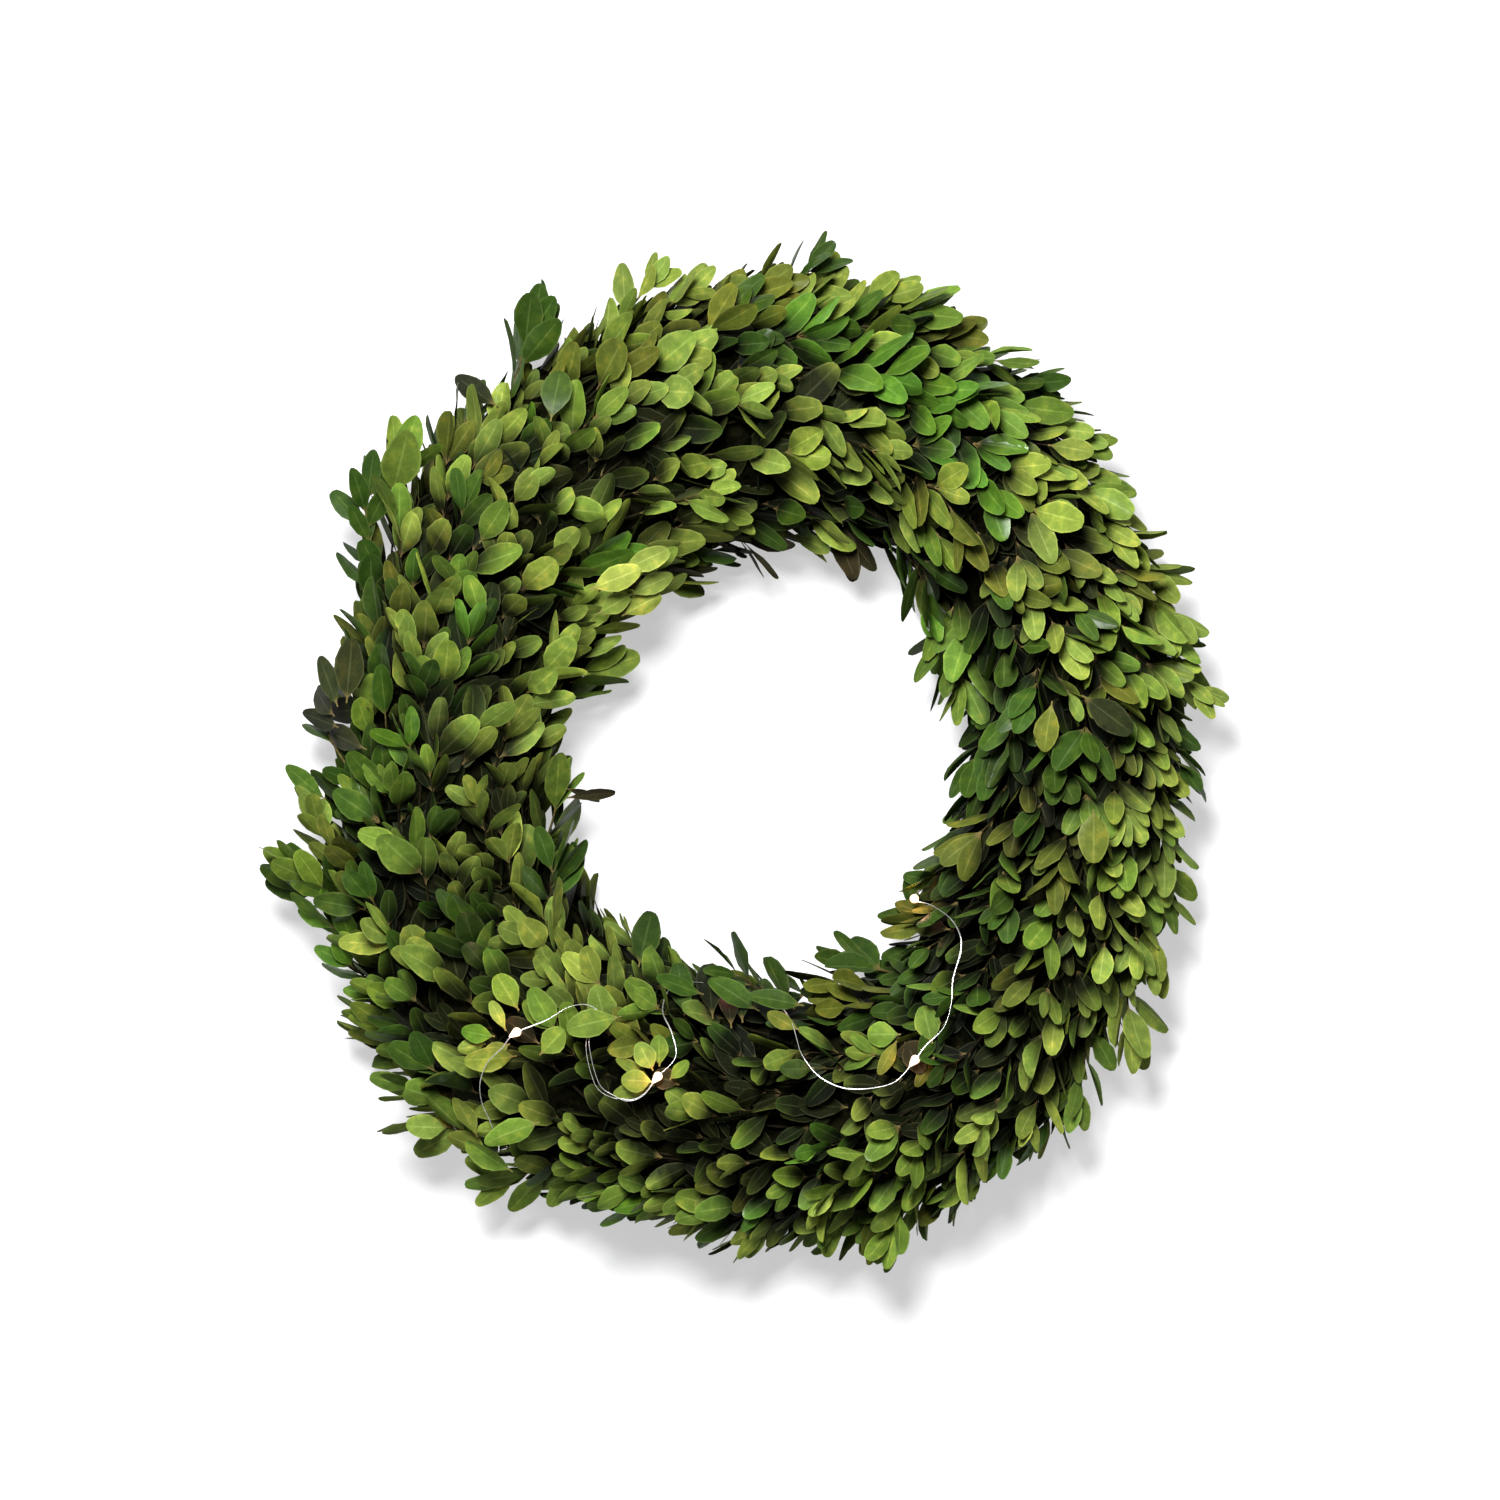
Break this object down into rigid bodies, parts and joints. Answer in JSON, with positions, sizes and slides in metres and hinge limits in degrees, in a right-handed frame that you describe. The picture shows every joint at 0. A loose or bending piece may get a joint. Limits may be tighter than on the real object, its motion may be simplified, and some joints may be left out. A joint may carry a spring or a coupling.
{
  "type": "leaf wreath",
  "caption": "Round wreath of preserved boxwood bunches bound to a double wire frame, leaves pointing clockwise, with a short string of fairy lights in its lower part",
  "frame": {"origin": "middle of the whole wreath's box in x and y, on the plane that its back rests on", "axes": "+Z out of the front, +Y to the top as it hangs, +X to the right seen from the front"},
  "size_m": [0.5186, 0.5596, 0.1117],
  "materials": {
    "boxwood": "soft satin preserved leaves, mid to yellow green with olive and dark ones",
    "frame_wire": "dark green lacquer",
    "binding_wire": "green enamel",
    "light_wire": "silvered thin wire",
    "led_epoxy": "clear drop, lit warm white",
    "box_plastic": "fine matte",
    "coin_cell": "brushed",
    "switch_plastic": "matte"
  },
  "bodies": {
    "root": {"bunch_01": "boxwood", "bunch_02": "boxwood", "bunch_03": "boxwood", "bunch_04": "boxwood", "bunch_05": "boxwood", "bunch_06": "boxwood", "bunch_07": "boxwood", "bunch_08": "boxwood", "bunch_09": "boxwood", "bunch_10": "boxwood", "bunch_11": "boxwood", "bunch_12": "boxwood", "bunch_13": "boxwood", "bunch_14": "boxwood", "bunch_15": "boxwood", "bunch_16": "boxwood", "bunch_17": "boxwood", "bunch_18": "boxwood", "wire_frame": "frame_wire", "binding_wire": "binding_wire", "light_wire": "light_wire", "led_bead_1": "led_epoxy", "led_bead_2": "led_epoxy", "led_bead_3": "led_epoxy", "led_bead_4": "led_epoxy", "led_bead_5": "led_epoxy", "led_bead_6": "led_epoxy", "battery_box": "box_plastic", "battery_lid": "box_plastic", "coin_cell_1": "coin_cell", "coin_cell_2": "coin_cell", "slide_switch": "switch_plastic"}
  },
  "joints": []
}
